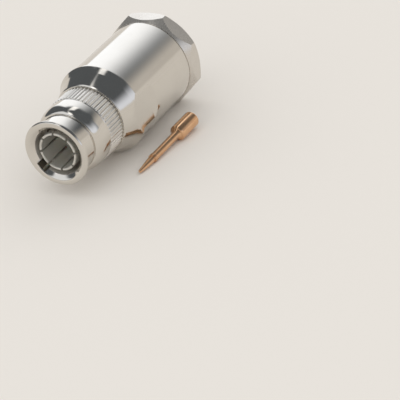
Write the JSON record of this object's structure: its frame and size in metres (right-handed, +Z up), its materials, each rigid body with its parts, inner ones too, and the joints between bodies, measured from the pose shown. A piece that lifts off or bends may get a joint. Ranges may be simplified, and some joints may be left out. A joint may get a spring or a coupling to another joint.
{
  "type": "bnc connector",
  "caption": "Straight clamp-type coaxial cable plug with a bayonet coupling nut, octagonal clamp nut and a loose centre contact beside it.",
  "frame": {"origin": "on the plug's axis at its reference plane, where the contact's hole opens at the foot of the slotted outer contact", "axes": "+X along the plug's axis from the mating end to the cable end, +Z up, -Z the octagon flat it lies on; the loose contact lies on the -Y side"},
  "size_m": [0.041, 0.0233, 0.019],
  "materials": {
    "plated_brass": "bright nickel plate on turned brass",
    "silvered_brass": "silver plate on beryllium copper",
    "spring_steel": "ground stainless steel",
    "spring_bronze": "phosphor bronze strip",
    "bare_brass": "turned brass, unplated",
    "gold_plate": "gold flash on brass",
    "ptfe": "turned PTFE",
    "silicone_rubber": "moulded silicone rubber",
    "gasket_rubber": "moulded black rubber"
  },
  "bodies": {
    "plug": {"body": "plated_brass", "outer_contact": "silvered_brass", "mating_gasket": "silicone_rubber", "retaining_ring": "spring_bronze", "front_thrust_washer": "spring_steel", "wave_washer": "spring_bronze", "front_insulator": "ptfe", "rear_insulator": "ptfe", "braid_clamp": "bare_brass", "cable_gasket": "gasket_rubber", "centre_contact": "gold_plate"},
    "coupling_carrier": {"rear_thrust_washer": "spring_steel"},
    "coupling": {"coupling_nut": "plated_brass"},
    "clamp_carrier": {"slip_washer": "spring_steel"},
    "clamp": {"clamp_nut": "plated_brass"}
  },
  "joints": [
    {"name": "coupling_slide", "type": "slide", "parent": "plug", "child": "coupling_carrier", "axis": [-1, 0, 0], "range_m": [0, 0.00045], "stiffness_N_per_m": 20000, "deforming": ["wave_washer"]},
    {"name": "coupling_spin", "type": "hinge", "parent": "coupling_carrier", "child": "coupling", "pos_m": [0, 0, 0], "axis": [1, 0, 0], "continuous": true},
    {"name": "clamp_slide", "type": "slide", "parent": "plug", "child": "clamp_carrier", "axis": [1, 0, 0], "range_m": [0, 0.005]},
    {"name": "clamp_turn", "type": "hinge", "parent": "clamp_carrier", "child": "clamp", "pos_m": [0.028, 0, 0], "axis": [1, 0, 0], "range_deg": [0, 1800]}
  ],
  "couplings": [
    {"joint": "clamp_slide", "follows": "clamp_turn", "m_per_rad": 0.00015915}
  ]
}
